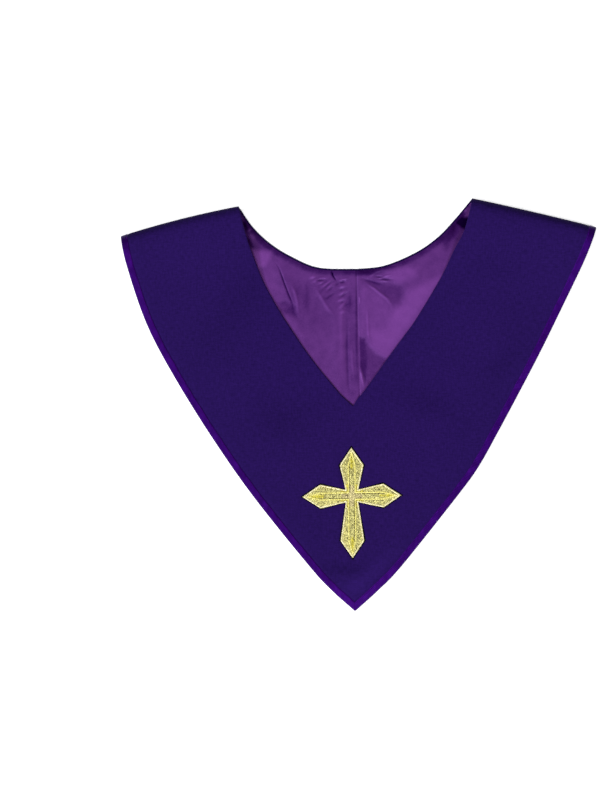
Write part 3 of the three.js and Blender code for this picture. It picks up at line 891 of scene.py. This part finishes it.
def makeBinding(material):

    def acrossAt(quarter, t):
        share = bandShare(quarter, t, collar["bindingWidth"])[:, None]
        return np.hstack([1 - share, 1 - share / 2, np.ones_like(share)])

    place, _, distance, front = ringGrid(acrossAt, binding["frontRows"], binding["backRows"])
    normals = normalsOf(place)[:-1, 2]
    inward, edge = (place[:, 0] - place[:, 2])[:-1], place[:-1, 2]
    distance, front = distance[:-1, 2], front[:-1, 2]
    normals[0] = (0, 0, -1)  # where the ring closes, at the centre back
    count = len(edge)
    steps = np.linalg.norm(np.diff(edge, axis=0), axis=1)
    length = np.concatenate([[0], np.cumsum(steps)])
    total = length[-1] + np.linalg.norm(edge[0] - edge[-1])
    tip = int(np.argmin(edge[:, 1]))
    dent = binding["mitreDent"] * (np.arange(count) == tip)
    lift = front * frontFinish(edge[:, 0], edge[:, 1], distance)
    proud = binding["proud"] * front * smooth(distance / collar["foldReach"])
    shares = np.array(binding["section"])
    across, up = shares[:, 0], shares[:, 1]
    bulge = np.sin(np.pi * across) * (up > 0.5)
    wave = unevenWave(length, binding["puckerLength"], 1)
    waver = binding["waver"] * unevenWave(length, binding["waverLength"], 2)

    # One skin of the strip, a distance inside its outline.
    def skin(inset):
        pulled = 1 - inset / collar["bindingWidth"]
        middle = inset / collar["bindingWidth"] / 2
        wide = across * pulled + middle
        thick = inset / binding["thickness"] + up * (1 - 2 * inset / binding["thickness"])
        raised = proud[:, None] + binding["pucker"] * wave[:, None] * bulge * front[:, None]
        top = collar["wall"] / 2 + raised - dent[:, None] * bulge
        height = top - binding["thickness"] * (1 - thick)
        inner = wide * (1 + waver[:, None] / collar["bindingWidth"] * (across > binding["waverFrom"]))
        return edge[:, None] + inward[:, None] * inner[..., None] + normals[:, None] * height[..., None]

    outer, inner = skin(0), skin(binding["skin"])
    for side in (outer, inner):
        side[..., 2] = np.maximum(side[..., 2] + lift[:, None], 0)
    loop = 2 * len(shares)
    points = np.concatenate([outer, inner[:, ::-1]], axis=1)
    faces = []
    for i in range(count):
        a, b = i * loop, (i + 1) % count * loop
        faces += [(a + j, b + j, b + (j + 1) % loop, a + (j + 1) % loop) for j in range(loop)]
    spans = np.diff(shares, axis=0) * (collar["bindingWidth"], binding["thickness"])
    girth = np.concatenate([[0], np.cumsum(np.hypot(spans[:, 0], spans[:, 1]))])
    girth = np.concatenate([girth, girth[::-1]])
    # painted light towards the front's point and painted shade beside the shoulder folds
    (tipReach, tipPaintedLight), (foldReach, foldPaintedShade) = binding["tipPaintedLight"], binding["foldPaintedShade"]
    tone = tipPaintedLight * bell((length - length[tip]) / tipReach) + foldPaintedShade * front * bell(distance / foldReach)
    grain = np.dstack(np.broadcast_arrays(length[:, None], girth[None, :], 0.0))
    print("binding", round(total), "mm long,", round(girth.max(), 1), "mm wide")
    values = {"grain": grain.reshape(-1, 3) * mm, "tone": np.repeat(tone, loop)}
    piece = newPiece("edgeBinding", points.reshape(-1, 3), faces, material, values)
    seam = outer[front > 0, binding["seamColumn"]], normals[front > 0]
    return piece, seam, total * mm, girth.max() * mm


# Stitches along lines: each is a small bowed thread, set across or along the line at even steps.
def stitchTree():
    tree = bpy.data.node_groups.new("stitches", "GeometryNodeTree")
    floats = ("Spacing", "Length", "Thickness", "Bow", "Turn", "Turn Spread", "Length Spread")
    sockets = [("Lines", "Geometry")] + [(name, "Float") for name in floats]
    for name, kind in sockets + [("Seed", "Int"), ("Thread", "Material")]:
        tree.interface.new_socket(name, in_out="INPUT", socket_type="NodeSocket" + kind)
    tree.interface.new_socket("Stitches", in_out="OUTPUT", socket_type="NodeSocketGeometry")
    given = addNode(tree, "NodeGroupInput").outputs
    lines = addNode(tree, "GeometryNodeMeshToCurve", links={"Mesh": given["Lines"]}).outputs[0]
    links = {"Curve": lines, "Length": given["Spacing"]}
    even = addNode(tree, "GeometryNodeResampleCurve", {"mode": "LENGTH"}, links=links)
    links = {"Curve": even.outputs[0]}
    points = addNode(tree, "GeometryNodeCurveToPoints", {"mode": "EVALUATED"}, links=links).outputs

    # What is drawn by lot for each stitch: its shade, its turn and its share of the length.
    minus = addNode(tree, "ShaderNodeMath", {"operation": "MULTIPLY"}, {1: -1}, {0: given["Turn Spread"]})
    links = {1: given["Length Spread"]}
    shorter = addNode(tree, "ShaderNodeMath", {"operation": "SUBTRACT"}, {0: 1}, links)
    longer = addNode(tree, "ShaderNodeMath", {"operation": "ADD"}, {0: 1}, links)
    ranges = [{}, {2: minus.outputs[0], 3: given["Turn Spread"]}]
    ranges.append({2: shorter.outputs[0], 3: longer.outputs[0]})
    drawn = []
    for offset, limits in enumerate(ranges, 1):
        seed = addNode(tree, "ShaderNodeMath", {"operation": "ADD"}, {1: offset}, {0: given["Seed"]})
        links = {**limits, 8: seed.outputs[0]}
        lot = addNode(tree, "FunctionNodeRandomValue", {"data_type": "FLOAT"}, {2: 0.0, 3: 1.0}, links)
        drawn.append(lot.outputs[1])

    links = {"Geometry": points["Points"], "Value": drawn[0]}
    marked = addNode(tree, "GeometryNodeStoreNamedAttribute", values={"Name": "shade"}, links=links)
    links = {"Vector": points["Tangent"]}
    ahead = addNode(tree, "FunctionNodeAlignRotationToVector", {"axis": "X"}, links=links)
    ups = addNode(tree, "GeometryNodeInputNamedAttribute", {"data_type": "FLOAT_VECTOR"}, {"Name": "up"})
    settings = {"axis": "Z", "pivot_axis": "X"}
    links = {"Rotation": ahead.outputs[0], "Vector": ups.outputs[0]}
    upright = addNode(tree, "FunctionNodeAlignRotationToVector", settings, links=links)
    links = {0: given["Turn"], 1: drawn[1]}
    angle = addNode(tree, "ShaderNodeMath", {"operation": "ADD"}, links=links)
    links = {"Angle": angle.outputs[0]}
    about = addNode(tree, "FunctionNodeAxisAngleToRotation", values={"Axis": (0, 0, 1)}, links=links)
    links = {"Rotation": upright.outputs[0], "Rotate By": about.outputs[0]}
    turned = addNode(tree, "FunctionNodeRotateRotation", {"rotation_space": "LOCAL"}, links=links)
    links = {0: given["Length"], 1: drawn[2]}
    size = addNode(tree, "ShaderNodeMath", {"operation": "MULTIPLY"}, links=links)
    links = {"X": size.outputs[0], "Y": given["Thickness"], "Z": given["Thickness"]}
    scale = addNode(tree, "ShaderNodeCombineXYZ", links=links)

    # One thread of length and thickness 1, which each stitch scales.
    middle = addNode(tree, "ShaderNodeCombineXYZ", links={"Z": given["Bow"]})
    values = {"Resolution": 4, "Start": (-0.5, 0, 0), "End": (0.5, 0, 0)}
    links = {"Middle": middle.outputs[0]}
    bowed = addNode(tree, "GeometryNodeCurveQuadraticBezier", values=values, links=links)
    section = addNode(tree, "GeometryNodeCurvePrimitiveCircle", values={"Resolution": 5, "Radius": 0.5})
    links = {"Curve": bowed.outputs[0], "Profile Curve": section.outputs[0]}
    thread = addNode(tree, "GeometryNodeCurveToMesh", values={"Fill Caps": True}, links=links)
    links = {"Points": marked.outputs[0], "Instance": thread.outputs[0]}
    links.update({"Rotation": turned.outputs[0], "Scale": scale.outputs[0]})
    placed = addNode(tree, "GeometryNodeInstanceOnPoints", links=links)
    whole = addNode(tree, "GeometryNodeRealizeInstances", links={"Geometry": placed.outputs[0]})
    links = {"Geometry": whole.outputs[0], "Material": given["Thread"]}
    coloured = addNode(tree, "GeometryNodeSetMaterial", links=links)
    addNode(tree, "NodeGroupOutput", links={0: coloured.outputs[0]})
    return tree


stitchLots = {"Length Spread": 0.15, "Seed": 3}  # how unlike each other the stitches are


# Runs the stitch tree over lines in mm, each with its own upward directions, and keeps the mesh.
# The sizes are spacing, length and thickness in mm, turn, spread of the turns, and bow.
def makeStitches(name, tree, lines, sizes, thread):
    spacing, length, thickness, turn, spread, bow = sizes
    edges, start = [], 0
    for places, _ in lines:
        edges += [(start + k, start + k + 1) for k in range(len(places) - 1)]
        start += len(places)
    points, ups = (np.concatenate([line[k] for line in lines]) for k in (0, 1))
    guide = newPiece(name + "Guide", points, [], None, {"up": ups}, edges)
    modifier = guide.modifiers.new("stitches", "NODES")
    modifier.node_group = tree
    given = {"Spacing": spacing * mm, "Length": length * mm, "Thickness": thickness * mm, "Bow": bow}
    given.update({"Turn": turn, "Turn Spread": spread, "Thread": thread, **stitchLots})
    for item in tree.interface.items_tree:
        if item.name in given:
            modifier[item.identifier] = given[item.name]
    graph = bpy.context.evaluated_depsgraph_get()
    mesh = bpy.data.meshes.new_from_object(guide.evaluated_get(graph), depsgraph=graph)
    bpy.data.objects.remove(guide)
    mesh.name = name
    mesh.polygons.foreach_set("use_smooth", [True] * len(mesh.polygons))
    piece = bpy.data.objects.new(name, mesh)
    bpy.context.scene.collection.objects.link(piece)
    print(name, len(mesh.polygons), "faces")
    return piece


# Embroidery of the cross. Each arm has a spine between two rails, a fill out to the border, and a
# kite of yellow thread towards its tip.
stitching = {
    "border": 1.0,
    "borderGap": 0.2,  # bare strips, beside the border and on the two sides of a rail
    "railGap": 0.6,
    "spineGap": 1.2,
    "rowGap": 0.5,
    "rowStep": 1.0,
    "rowStop": 3,  # rows end this far short of the tip
    "railAt": 3.5,
    "railFrom": 3.5,
    "railStop": 4.5,  # the two rails meet this far short of the tip
    "railTurn": (0.35, 6),  # they close from this share of the way to the tip, less so many mm
    "kiteHalf": 1.8,
    "kiteSlack": 0.2,
    "kiteStart": -4,  # from the arm's widest place
    "spineStop": 6,  # from the same place
    "dullTo": 11,  # up to this far from the centre the spine is of dull thread
    "yellowTo": 12,  # and the fill beside the rails is yellow up to here
    "middlePlaces": [0.5, 1.5, 2.5, 3.5],  # the patch where the arms meet, from its centre
    "middleHalf": 3,
    "tipStitches": [4.2, 2.6, 1.2],  # from the tip
    # heights of the stitches' lines above the twill
    "heights": {
        "crossFill": 0.75,
        "crossSpine": 0.75,
        "crossKites": 0.75,
        "crossRails": 1.05,
        "crossBorder": 1.05,
        "crossTips": 1.05,
    },
    # colours of the threads in shade and in light
    "threads": {
        "goldMetallicThread": ("#4b440d", "#ebe494"),
        "dullGoldThread": ("#4f4120", "#eee2a2"),
        "yellowGoldThread": ("#6b620f", "#e6da4a"),
        "brightGoldThread": ("#b9ae4c", "#f1eb98"),
        "paleGoldThread": ("#bfb57c", "#f7f1c8"),
    },
    # thread, then spacing, length and thickness in mm, turn, spread of the turns, and bow
    "kinds": {
        "crossFill": ("goldMetallicThread", 1.0, 1.5, 0.55, 0.6, 0.5, 0.5),
        "crossSpine": ("dullGoldThread", 1.0, 1.5, 0.55, -0.5, 0.5, 0.5),
        "crossKites": ("yellowGoldThread", 1.0, 1.5, 0.55, 0.6, 0.5, 0.5),
        "crossRails": ("brightGoldThread", 0.36, 1.0, 0.5, math.pi / 2, 0.06, 0.5),
        "crossBorder": ("paleGoldThread", 0.4, 1.0, 0.5, math.pi / 2 - 0.2, 0.06, 0.5),
        "crossTips": ("paleGoldThread", 1.0, 2.2, 0.7, 0.0, 0.06, 0.5),
    },
}


# A line laid on the front at places in plan, a height above it, with its upward directions.
def onFront(plan, height):
    plan = np.asarray(plan, float)
    z = frontTop(plan[:, 0], plan[:, 1]) + height
    return np.column_stack([plan, z]), np.tile((0.0, 0.0, 1.0), (len(plan), 1))


# How many parts of about a step in length each side of an outline has.
def partCounts(outline, step):
    return [max(1, round(np.linalg.norm(b - a) / step)) for a, b in sides(outline)]


# An outline's points, with its sides cut into parts.
def cutSides(outline, counts):
    ends = zip(sides(outline), counts)
    return np.array([a + (b - a) * k / count for (a, b), count in ends for k in range(count)])


# Half width of the fill at distances along an arm, inside the border.
def armHalf(along, tip, wide, inset):
    waist, half = crossForm["waist"] - inset, crossForm["halfWidth"] - inset * crossForm["widePull"]
    end = tip - inset * crossForm["tipPull"]
    rising = waist + (half - waist) * (along - waist) / (wide - waist)
    closing = half * (end - along) / (end - wide)
    return np.minimum(rising, closing)


# Distance of a rail from the arm's middle: parallel, then closing towards the tip.
def railAt(along, tip, wide):
    share, sooner = stitching["railTurn"]
    start, end = wide + (tip - wide) * share - sooner, tip - stitching["railStop"]
    return stitching["railAt"] * np.clip((end - along) / (end - start), 0, 1)


# The rows of stitches down an arm: the piece that each belongs to, and its places along and across.
def armRows(tip, wide):
    along = np.arange(stitching["railFrom"], tip - stitching["rowStop"], stitching["rowStep"])
    rail = railAt(along, tip, wide)
    space = armHalf(along, tip, wide, stitching["border"]) - stitching["borderGap"]
    outside, inside = rail + stitching["railGap"], rail - stitching["spineGap"]
    kiteHalf = np.minimum(rail + stitching["kiteSlack"], stitching["kiteHalf"])
    rows = [("crossRails", along, -rail), ("crossRails", along, rail)]
    for across in np.arange(-crossForm["halfWidth"], crossForm["halfWidth"], stitching["rowGap"]):
        off = abs(across)
        outer = (off < space) & (off > outside) & (along > off)
        kite = (off <= kiteHalf) & (along >= wide + stitching["kiteStart"])
        inner = (off < inside) & (along < wide + stitching["spineStop"]) & ~kite
        vivid = kite | (outer & (along < stitching["yellowTo"]))
        dull = inner & (along < stitching["dullTo"])
        plain = (inner & ~dull) | (outer & ~vivid)
        for name, chosen in (("crossFill", plain), ("crossSpine", dull), ("crossKites", vivid)):
            if chosen.sum() > 1:
                rows.append((name, along[chosen], 0 * along[chosen] + across))
    return rows


def makeCross(tree):
    lines = {name: [] for name in stitching["kinds"]}
    for angle, tip, wide in crossForm["arms"]:
        point = tip - np.array(stitching["tipStitches"])
        rows = armRows(tip, wide) + [("crossTips", point, 0 * point)]
        if abs(angle - 180) == 90:  # the upright runs through the middle
            middle, reach = np.array(stitching["middlePlaces"]), stitching["middleHalf"]
            across = np.arange(-reach, reach + 0.1, stitching["rowGap"])
            rows = [("crossSpine", middle, row) for row in across] + rows
        for name, along, across in rows:
            height = stitching["heights"][name]
            lines[name].append(onFront(armPlace(angle, along, across), height))
    outline = crossOutline(stitching["border"] / 2)
    rim = cutSides(outline, partCounts(outline, stitching["rowStep"]))
    rim = onFront(np.concatenate([rim, rim[:1]]), stitching["heights"]["crossBorder"])
    lines["crossBorder"].append(rim)
    materials, pieces = {}, []
    for name, colours in stitching["threads"].items():
        materials[name] = threadMaterial(name, colours, "metallised")
    for name, (thread, *sizes) in stitching["kinds"].items():
        pieces.append(makeStitches(name, tree, lines[name], sizes, materials[thread]))
    return pieces


padding = {
    "rings": [(-1.5, 0.3), (-0.2, 0.45), (0.2, 0.7), (0.9, 0.85), (1.9, 0.55), (3.2, 0.5)],  # inset, height
    "step": 2.5,
    "paintedShadowRings": 2,  # the outer rings, near black: a painted shadow round the threads
    # the first colour is a painted shadow, the second the cotton's own
    "colours": ("#05020a", "#5d5422"),
}


# The padding under the threads, of cotton: the cross's own form, with a thin edge that reaches a little
# past it all round, coloured as a painted shadow.
def makePadding():
    rings, counts = padding["rings"], partCounts(crossOutline(0), padding["step"])
    layers = [onFront(cutSides(crossOutline(inset), counts), height)[0] for inset, height in rings]
    centre = np.array([crossForm["centre"]])
    ends = [onFront(centre, height)[0] for height in (rings[-1][1], 0)]
    points, count = np.concatenate(layers + ends), len(layers[0])
    faces = []
    for a in range(0, (len(rings) - 1) * count, count):
        b = a + count
        faces += [(a + k, a + (k + 1) % count, b + (k + 1) % count, b + k) for k in range(count)]
    last, top, bottom = (len(rings) - 1) * count, len(points) - 2, len(points) - 1
    faces += [(last + k, last + (k + 1) % count, top) for k in range(count)]
    faces += [((k + 1) % count, k, bottom) for k in range(count)]
    # the outer rings take the first colour, a painted shadow
    shade = np.where(np.arange(len(points)) < padding["paintedShadowRings"] * count, 0.0, 1.0)
    material = threadMaterial("goldUnderlay", padding["colours"], "cotton")
    return newPiece("crossPadding", points, faces, material, {"shade": shade})


# Floor, soft boxes and the camera, which looks straight down.
studio = {
    "viewHeight": 840.3,  # mm that the picture's height covers, where the cloth lies
    "centre": (-61.4, 5.25),
    "lens": 85,
    "sensor": 36,
    "clothHeight": 5,
    # far soft boxes: turn from +X and height above the floor in degrees, strength, width in degrees
    "lights": [(172, 34, 2.45, 12), (283, 48, 1.8, 25), (225, 58, 1.2, 50)],
    "sky": 0.28,
    "floorSize": 12000,
    "floorDrop": 0.2,  # clear of the cloth's underside
    "floorGlow": 0.25,  # the paper is lit from behind as well, so shadows on it stay faint
}


def makeStudio():
    size, drop = studio["floorSize"], -studio["floorDrop"]
    corners = [(-size, -size, drop), (size, -size, drop), (size, size, drop), (-size, size, drop)]
    values = {"Base Color": linear("#fdfdfd"), "Roughness": 0.9, "Emission Strength": studio["floorGlow"]}
    paper = newMaterial("paperSweep", values)[0]
    floor = newPiece("floor", corners, [(0, 1, 2, 3)], paper, {})
    world = bpy.data.worlds.new("studio")
    bpy.context.scene.world = world
    world.use_nodes = True
    sky = world.node_tree.nodes["Background"].inputs
    sky["Color"].default_value, sky["Strength"].default_value = (1, 1, 1, 1), studio["sky"]
    for k, (turn, height, strength, wide) in enumerate(studio["lights"]):
        data = bpy.data.lights.new("softBox" + str(k), "SUN")
        data.energy, data.angle = strength, math.radians(wide)
        light = bpy.data.objects.new(data.name, data)
        light.rotation_euler = (0, math.radians(90 - height), math.radians(turn))
        bpy.context.scene.collection.objects.link(light)
    data = bpy.data.cameras.new("camera")
    data.lens, data.sensor_width = studio["lens"], studio["sensor"]
    camera = bpy.data.objects.new("camera", data)
    x, y = studio["centre"]
    height = studio["viewHeight"] * studio["lens"] / studio["sensor"] + studio["clothHeight"]
    camera.location = (x * mm, y * mm, height * mm)
    bpy.context.scene.collection.objects.link(camera)
    bpy.context.scene.camera = camera
    bpy.context.scene.view_settings.view_transform = "Standard"


makeStudio()
print("materials")
twillCloth, liningSatin, bindingSatin = twillMaterial(), satinMaterial(), ribbonMaterial()
print("cloth")
shell = makeShell(twillCloth)
linings = [makeLining(side, liningSatin) for side in ("Left", "Right")]
edging, seam, edgingLength, edgingWidth = makeBinding(bindingSatin)
print("stitching")
stitches = stitchTree()
crossPieces = makeCross(stitches)
seamThread = threadMaterial("polyesterThread", binding["seamColours"], "polyester")
bindingStitches = makeStitches("bindingStitches", stitches, [seam], binding["seam"], seamThread)
crossPadding = makePadding()

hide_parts("shell")
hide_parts("lining_left")
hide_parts("lining_right")
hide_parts("edge_binding")
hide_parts("cross")
for piece, slot in [
    (shell, "shell_twill"),
    (linings[0], "lining_satin"),
    (linings[1], "lining_satin"),
    (edging, "binding_satin"),
    (bindingStitches, "binding_satin"),
    (crossPadding, "gold_thread"),
    *[(piece, "gold_thread") for piece in crossPieces],
]:
    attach(piece, "root")

print("done")
